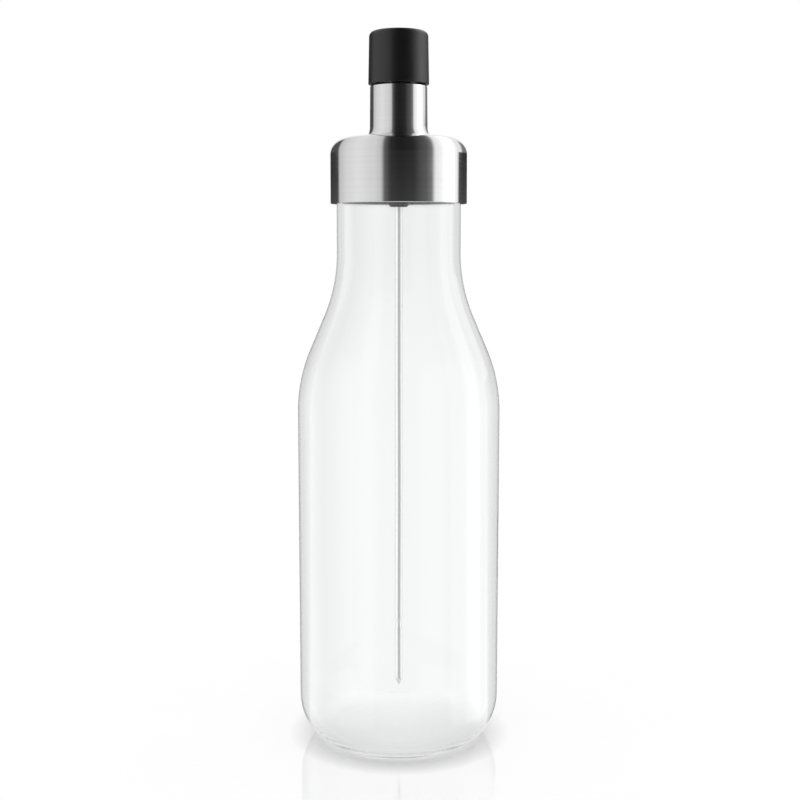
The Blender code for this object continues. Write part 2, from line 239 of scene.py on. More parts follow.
# %% Add nodes
def add(tree, kind, links=(), **values):
    """Adds a node of a kind. Names in values are settings of the node or, failing that, sockets.
    links are (socket, output) pairs that lead into it."""
    made = tree.nodes.new("ShaderNode" + kind)
    for name, value in values.items():
        if hasattr(made, name):
            setattr(made, name, value)
        else:
            made.inputs[name.replace("_", " ")].default_value = value
    for socket, output in links:
        tree.links.new(output, made.inputs[socket])
    return made


def fed(tree, made, terms):
    """Fills a node's first sockets. A term is another node's output or a number, which a colour
    socket takes as a grey. Hands back the node's first output."""
    for socket, term in zip(made.inputs, terms):
        if isinstance(term, bpy.types.NodeSocket):
            tree.links.new(term, socket)
        elif socket.type == "RGBA":
            socket.default_value = (term, term, term, 1)
        else:
            socket.default_value = term
    return made.outputs[0]


def worked(tree, operation, *terms, **settings):
    """One step of arithmetic on outputs and numbers, with the Math node's own name for it."""
    return fed(tree, add(tree, "Math", operation=operation, **settings), terms)


def ranged(tree, source, low, high, to=(0.0, 1.0), smooth=False):
    """A number carried from the range low to high into the range to, straight or in a soft S."""
    made = add(tree, "MapRange", interpolation_type="SMOOTHSTEP" if smooth else "LINEAR")
    return fed(tree, made, (source, low, high, *to))


def mixed(tree, share, first, second, blend="MIX"):
    """Two colours mixed by a share. A number stands for a grey."""
    return fed(tree, add(tree, "MixRGB", blend_type=blend), (share, first, second))


# %% Start materials and groups
def finish(name, **values):
    """A new material with its Principled shader's plain values set."""
    made = bpy.data.materials.new(name)
    made.use_nodes = True
    shader = made.node_tree.nodes["Principled BSDF"]
    for socket, value in values.items():
        shader.inputs[socket.replace("_", " ")].default_value = value
    return made, made.node_tree, shader


def group(name, inputs, outputs):
    """A new node group with named number sockets. inputs are (name, default) pairs."""
    made = bpy.data.node_groups.new(name, "ShaderNodeTree")
    for socket, value in inputs:
        given = made.interface.new_socket(socket, in_out="INPUT", socket_type="NodeSocketFloat")
        given.default_value = value
    for socket in outputs:
        made.interface.new_socket(socket, in_out="OUTPUT", socket_type="NodeSocketFloat")
    return made, made.nodes.new("NodeGroupInput"), made.nodes.new("NodeGroupOutput")


def placed(tree, shared, **values):
    """Places a node group in a material, with the values that this material wants."""
    made = tree.nodes.new("ShaderNodeGroup")
    made.node_tree = shared
    for socket, value in values.items():
        made.inputs[socket.replace("_", " ")].default_value = value
    return made


# %% [markdown]
# ## Lines from turning
#
# A turned or spun steel piece keeps fine lines that run round it. They could be painted with a stretched
# image. Here noise is read at (x, y, height minus radius): the last one changes fast, so the pattern is
# a stack of thin rings, and it keeps changing over a flat top as well as down a wall.

# %% Group: turned lines
turned_lines, given, handed = group(
    "Turned lines", [("Spacing", 0.0001), ("Length", 0.02)], ["Height", "Streaks"]
)
place = add(turned_lines, "TexCoord")
x, y, z = add(turned_lines, "SeparateXYZ", [(0, place.outputs["Object"])]).outputs
across = add(turned_lines, "CombineXYZ", [(0, x), (1, y)])
radius = add(turned_lines, "VectorMath", [(0, across.outputs[0])], operation="LENGTH")
down = worked(turned_lines, "SUBTRACT", z, radius.outputs["Value"])
rings = worked(turned_lines, "DIVIDE", down, given.outputs["Spacing"])
wide_x = worked(turned_lines, "DIVIDE", x, given.outputs["Length"])
wide_y = worked(turned_lines, "DIVIDE", y, given.outputs["Length"])
where = add(turned_lines, "CombineXYZ", [(0, wide_x), (1, wide_y), (2, rings)])
for socket, settings in (
    ("Height", dict(Scale=1.0, Detail=3.0, Roughness=0.6)),
    ("Streaks", dict(Scale=0.13, Detail=2.0, Roughness=0.5)),
):
    noise = add(turned_lines, "TexNoise", [("Vector", where.outputs[0])], **settings)
    turned_lines.links.new(noise.outputs[0], handed.inputs[socket])
print("group", turned_lines.name, "has", len(turned_lines.nodes), "nodes")

# %% [markdown]
# ## Marks of handling
#
# Glass, steel and matt plastic all show where hands have been: soft patches that are a little less
# clean than the rest, with no edge. Cloudy noise, cut so that most of the surface stays clean, gives a
# mask that each finish turns into a small change of its own roughness.

# %% Group: handling marks
CLOUD_TOP, CLOUD_EDGE = 0.85, 0.3
handling, given, handed = group("Handling marks", [("Size", 0.02), ("Share", 0.5)], ["Mask"])
place = add(handling, "TexCoord")
count = worked(handling, "DIVIDE", 1.0, given.outputs["Size"])
spread_out = [("Vector", place.outputs["Object"]), ("Scale", count)]
cloud = add(handling, "TexNoise", spread_out, Detail=4.0, Distortion=0.6)
low = worked(handling, "SUBTRACT", CLOUD_TOP, given.outputs["Share"])
high = worked(handling, "ADD", low, CLOUD_EDGE)
cut = ranged(handling, cloud.outputs[0], low, high, smooth=True)
handling.links.new(cut, handed.inputs["Mask"])
print("group", handling.name, "has", len(handling.nodes), "nodes")

# %% [markdown]
# ## Grain of a mould
#
# A steel mould for plastic or silicone is blasted with fine grit, and every piece copies that texture.
# It is far too fine to model, so a noise drives a bump, and a slower noise makes some zones of the
# skin a touch glossier than others.

# %% Group: moulded grain
grain, given, handed = group("Moulded grain", [("Grain Size", 0.0003)], ["Height", "Patches"])
place = add(grain, "TexCoord")
count = worked(grain, "DIVIDE", 1.0, given.outputs["Grain Size"])
pits = add(
    grain, "TexNoise", [("Vector", place.outputs["Object"]), ("Scale", count)], Detail=2.0, Roughness=0.7
)
patches = add(grain, "TexNoise", [("Vector", place.outputs["Object"])], Scale=140.0, Detail=3.0)
grain.links.new(pits.outputs[0], handed.inputs["Height"])
grain.links.new(patches.outputs[0], handed.inputs["Patches"])
print("group", grain.name, "has", len(grain.nodes), "nodes")

# %% [markdown]
# ## Clear glass
#
# Blown glass is clear, smooth and slightly uneven. The Principled shader bends light through it, and a
# slow, very shallow bump lets reflections waver as they do on a real bottle. A ray that only asks how
# much shadow a spot gets passes straight through a Transparent shader instead, because bent light would
# need thousands of samples to reach the floor.

# %% Glass finish
clear_glass, tree, shader = finish(
    "clear_glass", Base_Color=(0.985, 0.99, 0.988, 1), IOR=1.47, Transmission_Weight=1.0
)
marks = placed(tree, handling, Size=0.03, Share=0.32)
dull = ranged(tree, marks.outputs["Mask"], 0.0, 1.0, (0.0, 0.02))
tree.links.new(dull, shader.inputs["Roughness"])
place = add(tree, "TexCoord")
waver = add(tree, "TexNoise", [("Vector", place.outputs["Object"])], Scale=30.0, Detail=0.0)
soft = add(tree, "Bump", [("Height", waver.outputs[0])], Strength=0.1, Distance=0.0002)
tree.links.new(soft.outputs[0], shader.inputs["Normal"])
ray = add(tree, "LightPath")
clear = add(tree, "BsdfTransparent", Color=(0.88, 0.88, 0.88, 1))
asked = [(0, ray.outputs["Is Shadow Ray"]), (1, shader.outputs[0]), (2, clear.outputs[0])]
shadow = add(tree, "MixShader", asked)
tree.links.new(shadow.outputs[0], tree.nodes["Material Output"].inputs["Surface"])
print("glass bends light by", shader.inputs["IOR"].default_value)

# %% [markdown]
# ## Steel, satin and bright
#
# The cover is turned and then brushed with a fine belt, the nozzle and the skewer are polished. Both are
# metal with the same rings, only deeper or finer. The streaks change the roughness and the colour a
# little, so that a reflection is never the same from one ring to the next.

# %% Two steel finishes
RING_DEEP = 0.00002


def steel(name, colour, roughness, spread, spacing, length, depth):
    """Metal whose roughness runs from roughness to roughness + spread with its streaks and marks."""
    made, tree, shader = finish(name, Metallic=1.0)
    lines = placed(tree, turned_lines, Spacing=spacing, Length=length)
    marks = placed(tree, handling, Size=0.018, Share=0.4)
    streaks = lines.outputs["Streaks"]
    both = worked(tree, "MULTIPLY_ADD", streaks, marks.outputs["Mask"], streaks)
    rough = ranged(tree, both, 0.3, 1.1, (roughness, roughness + spread))
    tree.links.new(rough, shader.inputs["Roughness"])
    tint = ranged(tree, streaks, 0.2, 0.8, (colour * 0.97, colour * 1.03))
    tree.links.new(tint, shader.inputs["Base Color"])
    rings = add(tree, "Bump", [("Height", lines.outputs["Height"])], Strength=depth, Distance=RING_DEEP)
    tree.links.new(rings.outputs[0], shader.inputs["Normal"])
    return made


satin_steel = steel(
    "satin_steel", colour=0.72, roughness=0.09, spread=0.06, spacing=0.00012, length=0.03, depth=0.12
)
bright_steel = steel(
    "bright_steel", colour=0.84, roughness=0.16, spread=0.06, spacing=0.00008, length=0.01, depth=0.08
)
print("steel finishes:", satin_steel.name, bright_steel.name)

# %% [markdown]
# ## Plastic and silicone
#
# Three moulded materials differ in how dark, how glossy and how coarse they are, and share the grain.
# The cap is the deepest black, the stopper is a plain engineering plastic, and the seals are silicone
# with a chalky bloom.

# %% Three moulded finishes
PIT_DEEP = 0.00003


def moulded(name, colour, roughness, spread, size, depth, specular):
    """A dark moulded finish with grain, glossier patches and marks where it is handled. Sockets 6
    and 7 of a Mix node are its two colours."""
    made, tree, shader = finish(name, Specular_IOR_Level=specular)
    skin = placed(tree, grain, Grain_Size=size)
    marks = placed(tree, handling, Size=0.012, Share=0.42)
    patches = skin.outputs["Patches"]
    both = worked(tree, "MULTIPLY_ADD", marks.outputs["Mask"], -0.3, patches)
    rough = ranged(tree, both, 0.1, 0.7, (roughness - spread, roughness + spread))
    tree.links.new(rough, shader.inputs["Roughness"])
    shade = add(tree, "Mix", data_type="RGBA")
    tree.links.new(patches, shade.inputs["Factor"])
    for socket, factor in ((6, 0.85), (7, 1.2)):
        shade.inputs[socket].default_value = (colour * factor,) * 3 + (1,)
    tree.links.new(shade.outputs[2], shader.inputs["Base Color"])
    pits = add(tree, "Bump", [("Height", skin.outputs["Height"])], Strength=depth, Distance=PIT_DEEP)
    tree.links.new(pits.outputs[0], shader.inputs["Normal"])
    return made


matt_black = moulded(
    "matt_black", colour=0.003, roughness=0.36, spread=0.05, size=0.00025, depth=0.25, specular=0.55
)
black_plastic = moulded(
    "black_plastic", colour=0.018, roughness=0.36, spread=0.06, size=0.0004, depth=0.2, specular=0.5
)
grey_silicone = moulded(
    "grey_silicone", colour=0.10, roughness=0.58, spread=0.06, size=0.0003, depth=0.3, specular=0.4
)
print("moulded finishes:", matt_black.name, black_plastic.name, grey_silicone.name)

# %% [markdown]
# ## The glass bottle
#
# The bottle is blown in a mould: its outside is true, while its inside is where the soft glass
# happened to stop. Both skins belong to one closed shape, as in real glass, so that light bends once
# on the way in and once on the way out of each wall. Two arcs and a straight slope make the shoulder.
#
# The floor is a little thicker than the wall and swells in the middle, where glass gathers. The heel
# stays thin, because a heavy one traps light and would show dark arcs that this bottle doesn't have.

# %% Glass sizes
GLASS_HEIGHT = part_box("glass_bottle")[1].z
BODY_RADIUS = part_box("glass_bottle")[1].x
NECK_RADIUS = 0.0218
GLASS_WALL = 0.0020
HEEL_THICKNESS = 0.0025
FLOOR_RISE = 0.0016
HEEL = (0.0110, 0.0150)
FOOT_WIDTH = 0.0070
DISH_DEPTH = 0.0008
SHOULDER_ARC = 0.0560
NECK_ARC = 0.0570
SLOPE = 23.0
NECK_LENGTH = 0.03256
NECK_START = GLASS_HEIGHT - NECK_LENGTH
SHOULDER_STEPS, HEEL_STEPS, RIM_STEPS = 30, 28, 14


def filled(points, longest=0.0025):
    """Cuts every longer stretch into equal shares no longer than longest."""
    rows = [points[:1]]
    for start, end in zip(points[:-1], points[1:]):
        count = int(np.ceil(np.linalg.norm(end - start) / longest))
        rows.append(start + (end - start) * np.arange(1, count + 1)[:, None] / count)
    return np.concatenate(rows)


def glass_side(depth):
    """The side from shoulder to neck on the surface that lies depth inside the glass. The slope's
    length follows from the two radii that the arcs leave over."""
    arcs = SHOULDER_ARC + NECK_ARC
    slope = np.radians(SLOPE)
    length = (BODY_RADIUS - NECK_RADIUS - arcs * (1 - np.cos(slope))) / np.sin(slope)
    shoulder_start = NECK_START - arcs * np.sin(slope) - length * np.cos(slope)
    shoulder, neck = SHOULDER_ARC - depth, NECK_ARC + depth
    low_centre = (BODY_RADIUS - SHOULDER_ARC, shoulder_start)
    lower = arc(low_centre, (shoulder, shoulder), 0, SLOPE, SHOULDER_STEPS)
    high_centre = (NECK_RADIUS + NECK_ARC, NECK_START)
    upper = arc(high_centre, (neck, neck), 180 + SLOPE, 180, SHOULDER_STEPS)
    return np.concatenate((lower, upper))


def bell(width, height, steps=16):
    """A gentle rise in the middle of a round floor: half a wave of the cosine from 0 to width."""
    r = np.linspace(0, width, steps + 1)
    return np.stack((r, height * (1 + np.cos(np.pi * r / width)) / 2), axis=1)


print("glass in mm:", round(GLASS_HEIGHT * 1000, 2), "tall,", round(BODY_RADIUS * 2000, 2), "across")

# %% [markdown]
# The outer skin runs up from the dish under the foot, the rim turns over, and the inner skin runs down
# again. The lathe carries the whole line round at once, and only the inner skin strays a little.

# %% Blow the bottle
foot = BODY_RADIUS - HEEL[0]
inner_heel = (HEEL[0] - GLASS_WALL, HEEL[1] - HEEL_THICKNESS)
half_wall = GLASS_WALL / 2
rim_low = GLASS_HEIGHT - half_wall
outside = filled(np.concatenate((
    bell(foot - FOOT_WIDTH, DISH_DEPTH),
    arc((foot, HEEL[1]), HEEL, -90, 0, HEEL_STEPS),
    glass_side(0),
    [(NECK_RADIUS, rim_low)],
)))
inside = filled(np.concatenate((
    [(NECK_RADIUS - GLASS_WALL, rim_low)],
    glass_side(GLASS_WALL)[::-1],
    arc((foot, HEEL[1]), inner_heel, 0, -90, HEEL_STEPS),
    bell(foot, FLOOR_RISE)[::-1] + (0, HEEL_THICKNESS),
)))
rim_turn = arc((NECK_RADIUS - half_wall, rim_low), (half_wall, half_wall), 0, 180, RIM_STEPS)[1:-1]
outer_rows = len(held(parted(np.concatenate((outside, rim_turn))), False))
CALM_FOOT, CALM_RIM, CALM_FADE = 0.02, 0.19, 0.03
STRAY = 0.00002


def blown(number, radius, height, angle):
    """How far the inner skin strays from true: three slow waves, none at the foot or the rim."""
    calm = np.clip((height - CALM_FOOT) / CALM_FADE, 0, 1) * np.clip((CALM_RIM - height) / CALM_FADE, 0, 1)
    calm = calm * calm * (3 - 2 * calm)
    wave = np.sin(3 * angle + height * 40) + 0.6 * np.sin(5 * angle - height * 60 + 1)
    wave = wave + 0.5 * np.cos(2 * angle + height * 90)
    return np.where(number >= outer_rows, wave * calm * STRAY, 0)


glass_shape = lathe(np.concatenate((outside, rim_turn, inside)), turns=256, stray=blown)
dressed(piece("blown_glass", glass_shape), clear_glass, "glass_bottle", "bottle")

# %% [markdown]
# ## The steel cover
#
# One disc of steel is drawn into skirt, top and spout. Its corner, the fillet under the spout and the
# turned-in edge are all bends of one sheet, so the inner line follows the outer one at the sheet's
# thickness. The cut edge of the skirt is broken with a small radius and shows as a bright hairline.

# %% Draw the cover
GAP = 0.0003
SHEET = 0.0008
SPOUT_LENGTH = 0.0180
CORNER, FILLET = 0.0056, 0.0038
SPOUT_RADIUS, SPOUT_TOP_RADIUS, SPOUT_MOUTH = 0.01015, 0.0100, 0.0079
cover_low, cover_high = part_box("lid_shell")
COVER_RADIUS = cover_high.x
SPOUT_TOP = cover_high.z
COVER_TOP = SPOUT_TOP - SPOUT_LENGTH
cover_line = softened(
    [
        (COVER_RADIUS, cover_low.z, 0.00030),
        (COVER_RADIUS, COVER_TOP, CORNER),
        (SPOUT_RADIUS, COVER_TOP, FILLET),
        (SPOUT_TOP_RADIUS, SPOUT_TOP, 0.0007),
        (SPOUT_MOUTH, SPOUT_TOP, 0.00025),
        (SPOUT_MOUTH, SPOUT_TOP - SHEET, 0.00015),
        (SPOUT_TOP_RADIUS - SHEET, SPOUT_TOP - SHEET, 0.0002),
        (SPOUT_RADIUS - SHEET, COVER_TOP - SHEET, FILLET + SHEET),
        (COVER_RADIUS - SHEET, COVER_TOP - SHEET, CORNER - SHEET),
        (COVER_RADIUS - SHEET, cover_low.z, 0.00030),
    ],
    steps=20,
)
dressed(piece("steel_cover", lathe(cover_line)), satin_steel, "lid_shell", "lid")

# %% [markdown]
# ## The cap
#
# The cap is moulded with a slight draft, so it is a hair wider at its mouth, and it is the one piece
# that fingers grip. A cylinder with a bevel would do, but the draft and the three different edges, at
# the mouth, at the top and inside, come free with a profile.

# %% Mould the cap
cap_low, cap_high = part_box("cap_shell")
CAP_BORE, CAP_ROOF, CAP_TAPER, CAP_CORNER = 0.0085, 0.0020, 0.00035, 0.0018
cap_line = softened(
    [
        (0, cap_high.z - CAP_ROOF, 0),
        (CAP_BORE, cap_high.z - CAP_ROOF, 0.0004),
        (CAP_BORE, cap_low.z, 0.0002),
        (cap_high.x, cap_low.z, 0.0003),
        (cap_high.x - CAP_TAPER, cap_high.z, CAP_CORNER),
        (0, cap_high.z, 0),
    ]
)
dressed(piece("black_cap", lathe(cap_line)), matt_black, "cap_shell", "cap")

# %% [markdown]
# ## The seal under the cap
#
# Under the cap's roof sits a soft disc with a hollow plug that closes the nozzle. The plug tapers a
# little, so that it finds the nozzle's mouth by itself.

# %% Mould the seal
seal_low, seal_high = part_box("cap_seal")
SEAL_DISC = 0.0019
SEAL_BORE, SEAL_TIP, SEAL_PLUG = 0.0050, 0.0062, 0.0065
disc_low = seal_high.z - SEAL_DISC
seal_line = softened(
    [
        (0, disc_low, 0),
        (SEAL_BORE, disc_low, 0.0002),
        (SEAL_BORE, seal_low.z, 0.0003),
        (SEAL_TIP, seal_low.z, 0.0004),
        (SEAL_PLUG, disc_low, 0.0002),
        (seal_high.x, disc_low, 0.0003),
        (seal_high.x, seal_high.z, 0.0003),
        (0, seal_high.z, 0),
    ],
    steps=6,
)
soft_seal = piece("soft_cap_seal", lathe(seal_line, turns=128))
dressed(soft_seal, grey_silicone, "cap_seal", "cap")

# %% [markdown]
# ## The pouring nozzle
#
# A short steel tube whose mouth curls outwards. The curl cuts the last drop, and the oil runs back
# inside. The curl is a quarter of a circle on both skins about one centre.

# %% Curl the nozzle
nozzle_low, nozzle_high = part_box("pour_nozzle")
NOZZLE_RADIUS, FLARE = 0.0076, 0.0006
curl = (NOZZLE_RADIUS + FLARE, nozzle_high.z - SHEET - FLARE)
tube = [
    (NOZZLE_RADIUS - SHEET, nozzle_low.z, 0.0002),
    (NOZZLE_RADIUS, nozzle_low.z, 0.0002),
    (NOZZLE_RADIUS, curl[1], 0),
]
nozzle_line = np.concatenate(
    (
        softened(tube, steps=6)[:-1],
        arc(curl, (FLARE, FLARE), 180, 90),
        arc(curl, (FLARE + SHEET, FLARE + SHEET), 90, 180, 16),
    )
)
nozzle = piece("steel_nozzle", lathe(nozzle_line, turns=128))
dressed(nozzle, bright_steel, "pour_nozzle", "lid")

# %% [markdown]
# ## The skewer
#
# A plain ground rod. Only three things tell that it is a tool: the thicker head that holds in its
# socket, a shallow groove near the lower end, and the point.

# %% Grind the skewer
rod_low, rod_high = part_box("skewer_rod")
ROD, HEAD, HEAD_LENGTH = 0.0014, 0.0017, 0.0047
TIP, POINT_LENGTH, POINT_CURVE = 0.0002, 0.0024, 0.0015
GROOVE_UP, GROOVE_DEPTH, GROOVE_WIDTH = 0.0215, 0.0003, 0.0029
GROOVE = rod_low.z + GROOVE_UP
rod_line = softened(
    [
        (0, rod_low.z, 0),
        (TIP, rod_low.z, 0.0001),
        (ROD, rod_low.z + POINT_LENGTH, POINT_CURVE),
        (ROD, GROOVE - GROOVE_DEPTH, 0.0003),
        (ROD - GROOVE_DEPTH, GROOVE, 0.0003),
        (ROD - GROOVE_DEPTH, GROOVE + GROOVE_WIDTH, 0.0003),
        (ROD, GROOVE + GROOVE_WIDTH + GROOVE_DEPTH, 0.0003),
        (ROD, rod_high.z - HEAD_LENGTH, 0.0002),
        (HEAD, rod_high.z - HEAD_LENGTH, 0.00015),
        (HEAD, rod_high.z, 0.0003),
        (0, rod_high.z, 0),
    ],
    steps=6,
)
skewer = piece("steel_skewer", lathe(rod_line, turns=64))
dressed(skewer, bright_steel, "skewer_rod", "skewer")

# %% [markdown]
# ## The stopper
#
# Inside the steel sits the piece that does the work: a moulded plug with two grooves for soft rings, a
# flange over the glass rim, a funnel, and a tower that holds the nozzle. It shows when the lid is
# lifted off. The flange's edge keeps an even gap to the steel, so it follows the bend of the cover: it
# lies the root of (bend radius squared minus height squared) outside the bend's centre, with the
# height taken from that centre too. The ribs are plain bars, set round like spokes.

# %% Mould the stopper
stopper_low, stopper_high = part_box("stopper_body")
RIM = GLASS_HEIGHT
FLANGE_LOW, FLANGE_TOP = RIM + 0.0018, RIM + 0.0043
PLUG, SEAT, HOLLOW, POUR = 0.0190, 0.0164, 0.0156, 0.0068
SEAT_DEPTH, TOWER_SEAT, TOWER_WALL = 0.0033, 0.0100, 0.0010
FUNNEL_LOW, FUNNEL_TOP = FLANGE_LOW - 0.0008, FLANGE_LOW + 0.0012
GROOVES = (0.0030, 0.0085)
RING_HEIGHT, RING_DEPTH = 0.0028, 0.0010
bend = (COVER_RADIUS - CORNER, COVER_TOP - CORNER)
bend_radius = CORNER - SHEET - GAP
edge_heights = np.linspace(FLANGE_TOP, FLANGE_LOW, 9)
edge_radii = bend[0] + np.sqrt(bend_radius**2 - np.maximum(0, edge_heights - bend[1]) ** 2)
groove_corners = ((PLUG, 0), (PLUG - RING_DEPTH, 0), (PLUG - RING_DEPTH, RING_HEIGHT), (PLUG, RING_HEIGHT))
grooves = [(radius, RIM - depth - lower, 0.00015) for depth in GROOVES for radius, lower in groove_corners]
stopper_line = softened(
    [
        (SPOUT_MOUTH + TOWER_WALL, stopper_high.z, 0.0002),
        (SPOUT_MOUTH + TOWER_WALL, FLANGE_TOP, 0.0006),
        *((radius, height, 0) for radius, height in zip(edge_radii, edge_heights)),
        (PLUG, FLANGE_LOW, 0.0003),
        *grooves,
        (PLUG, stopper_low.z, 0.0007),
        (SEAT, stopper_low.z, 0.0003),
        (SEAT, stopper_low.z + SEAT_DEPTH, 0.0001),
        (HOLLOW, stopper_low.z + SEAT_DEPTH, 0.0003),
        (HOLLOW, FUNNEL_LOW, 0.0012),
        (POUR, FUNNEL_TOP, 0.0010),
        (POUR, stopper_high.z - TOWER_SEAT, 0.0002),
        (SPOUT_MOUTH, stopper_high.z - TOWER_SEAT, 0.0001),
        (SPOUT_MOUTH, stopper_high.z, 0.0002),
    ],
    steps=6,
)
RIBS, RIB_HALF, RIB_FOOT, RIB_RISE, RIB_ROOT = 6, 0.0008, 0.0006, 0.0017, 0.0004
rib_low, rib_top = FLANGE_TOP - RIB_FOOT, FLANGE_TOP + RIB_RISE
rib_section = softened(
    [
        (-RIB_HALF, rib_low, 0),
        (RIB_HALF, rib_low, 0),
        (RIB_HALF, rib_top, 0.0003),
        (-RIB_HALF, rib_top, 0.0003),
    ],
    steps=3,
)
ribs = carried(rib_section, SPOUT_MOUTH + RIB_ROOT, bend[0], RIBS, np.pi / 2)
stopper = piece("moulded_stopper", lathe(stopper_line, turns=160), ribs)
dressed(stopper, black_plastic, "stopper_body", "lid")

# %% [markdown]
# ## Rings and gasket
#
# The two rings are one shape at two heights, so a function makes both: a soft bar that fills its groove
# and swells to a rounded lip at the glass. The gasket is a flat ring on the rim.

# %% Press the rings and the gasket
BORE = NECK_RADIUS - GLASS_WALL
LIP_HALF = 0.0004


def soft_ring(name, node, depth):
    """A ring for the groove that starts depth below the rim."""
    top, bottom = RIM - depth - GAP, RIM - depth - RING_HEIGHT + GAP
    middle = (top + bottom) / 2
    line = softened(
        [
            (PLUG - RING_DEPTH + GAP, bottom, 0.0002),
            (PLUG, bottom, 0.0002),
            (BORE - GAP, middle - LIP_HALF, 0.0004),
            (BORE - GAP, middle + LIP_HALF, 0.0004),
            (PLUG, top, 0.0002),
            (PLUG - RING_DEPTH + GAP, top, 0.0002),
        ],
        steps=6,
    )
    ring = piece(name, lathe(line, turns=160))
    dressed(ring, grey_silicone, node, "lid")


soft_ring("upper_soft_ring", "upper_seal_ring", GROOVES[0])
soft_ring("lower_soft_ring", "lower_seal_ring", GROOVES[1])
gasket_low, gasket_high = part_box("rim_gasket")
gasket_line = softened(
    [
        (PLUG + GAP, gasket_low.z, 0.0002),
        (gasket_high.x, gasket_low.z, 0.0003),
        (gasket_high.x, gasket_high.z, 0.0003),
        (PLUG + GAP, gasket_high.z, 0.0002),
    ],
    steps=6,
)
gasket = piece("flat_gasket", lathe(gasket_line, turns=160))
dressed(gasket, grey_silicone, "rim_gasket", "lid")

# %% [markdown]
# ## The skewer holder
#
# A small spider snaps into the foot of the stopper. Three spokes leave room for the oil, and the hub
# between them takes the skewer's head. Its lower end is the small black boss seen below the lid.

# %% Mould the holder
holder_low, holder_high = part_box("skewer_holder")
RING_TOP = stopper_low.z + 0.0030
RING_OUT, RING_IN = SEAT - GAP, SEAT - GAP - 0.0015
HUB, SOCKET, SOCKET_DEPTH = 0.0044, 0.0020, 0.0060
HUB_CONE, HUB_CHAMFER = 0.00145, 0.0010
SPOKES, SPOKE_HALF, SPOKE_HEIGHT, SPOKE_ROOT = 3, 0.0010, 0.0024, 0.00075
ring_line = softened(
    [
        (RING_IN, stopper_low.z, 0.0003),
        (RING_OUT, stopper_low.z, 0.0004),
        (RING_OUT, RING_TOP, 0.0002),
        (RING_IN, RING_TOP, 0.0003),
    ],
    steps=6,
)
hub_line = softened(
    [
        (0, holder_low.z + SOCKET_DEPTH, 0),
        (SOCKET, holder_low.z + SOCKET_DEPTH, 0.0002),
        (SOCKET, holder_low.z, 0.0002),
        (HUB - HUB_CONE, holder_low.z, 0.0004),
        (HUB, holder_low.z + HUB_CONE, 0.0006),
        (HUB, holder_high.z - HUB_CHAMFER, 0.0006),
        (HUB - HUB_CHAMFER, holder_high.z, 0.0006),
        (0, holder_high.z, 0),
    ],
    steps=8,
)
spoke_low, spoke_top = RING_TOP - SPOKE_HEIGHT, RING_TOP - GAP
spoke_section = softened(
    [
        (-SPOKE_HALF, spoke_low, 0.0004),
        (SPOKE_HALF, spoke_low, 0.0004),
        (SPOKE_HALF, spoke_top, 0.0004),
        (-SPOKE_HALF, spoke_top, 0.0004),
    ],
    steps=4,
)
spokes = carried(spoke_section, (SOCKET + HUB) / 2, RING_IN + SPOKE_ROOT, SPOKES, np.pi / 2)
holder = piece("skewer_spider", lathe(ring_line, turns=128), lathe(hub_line, turns=96), spokes)
dressed(holder, black_plastic, "skewer_holder", "lid")

# %% [markdown]
# ## Floor
#
# The bottle stands on a white table that melts into a white wall, with no line between them. One big
# square with a finish that fades out does that. It lies a tenth of a millimetre under the foot,
# because two faces in one plane flicker.

# %% Lay the floor
FLOOR_HALF = 1.5
UNDER_FOOT = 0.0001
corners = [(x * FLOOR_HALF, y * FLOOR_HALF, 0) for x, y in ((-1, -1), (1, -1), (1, 1), (-1, 1))]
floor_mesh = bpy.data.meshes.new("pale_floor")
floor_mesh.from_pydata(corners, [], [(0, 1, 2, 3)])
floor = bpy.data.objects.new("pale_floor", floor_mesh)
floor.location.z = -UNDER_FOOT
bpy.context.scene.collection.objects.link(floor)
print("floor across in m:", 2 * FLOOR_HALF)

# %% [markdown]
# The floor shines by itself and takes a little light from all round. Close to the foot a contact shadow is
# painted into its colour and its glow, as deep as Ambient Occlusion finds the foot hiding the sky. The
# glass itself lets light through, so the painted shadow lies only on the ring just outside the foot, and
# on the front more than the back. All distances on the floor are pairs in metres, from where a change
# begins to where it ends.

# %% Paint it and paint a shadow round the foot
SHADE_BEGINS, BACK_TO_FRONT = (0.024, 0.031), (0.015, -0.035)
SHADE_REACH, SHADE_STRENGTH = 0.009, 0.55
pale, tree, shader = finish(
    "pale_floor", Roughness=1.0, Specular_IOR_Level=0.0, Emission_Strength=0.77
)
floor_mesh.materials.append(pale)
place = add(tree, "TexCoord")
spot = add(tree, "SeparateXYZ", [(0, place.outputs["Object"])])
across, along = spot.outputs[0], spot.outputs[1]
far = add(tree, "VectorMath", [(0, place.outputs["Object"])], operation="LENGTH").outputs["Value"]
mottle = add(tree, "TexNoise", [("Vector", place.outputs["Object"])], Scale=30.0, Detail=4.0)
tone = ranged(tree, mottle.outputs[0], 0.0, 1.0, (0.20, 0.22))
# Painted shadow: Ambient Occlusion darkens the floor in a ring round the foot, more at the front.
hidden = add(tree, "AmbientOcclusion", Distance=SHADE_REACH)
lost = worked(tree, "SUBTRACT", 1.0, hidden.outputs["AO"])
painted_shadow_ring = ranged(tree, far, *SHADE_BEGINS, (0.0, SHADE_STRENGTH))
painted_shadow_front = ranged(tree, along, *BACK_TO_FRONT, (0.6, 1.2))
painted_shadow_weight = worked(tree, "MULTIPLY", painted_shadow_ring, painted_shadow_front)
painted_shadow = worked(tree, "MULTIPLY", lost, painted_shadow_weight)
light_after_painted_shadow = worked(tree, "SUBTRACT", 1.0, painted_shadow)
painted_shadow_colour = worked(tree, "MULTIPLY", tone, light_after_painted_shadow)
# The painted shadow darkens the floor's colour and its glow alike.
tree.links.new(painted_shadow_colour, shader.inputs["Base Color"])
tree.links.new(light_after_painted_shadow, shader.inputs["Emission Color"])
print("contact shade begins at", SHADE_BEGINS[0], "m and reaches", SHADE_REACH, "m")

# %% [markdown]
# The table is polished in front of the bottle, so it mirrors the heel faintly, and more at a flat
# angle, which Layer Weight gives. The mirror ends a hand's width away.

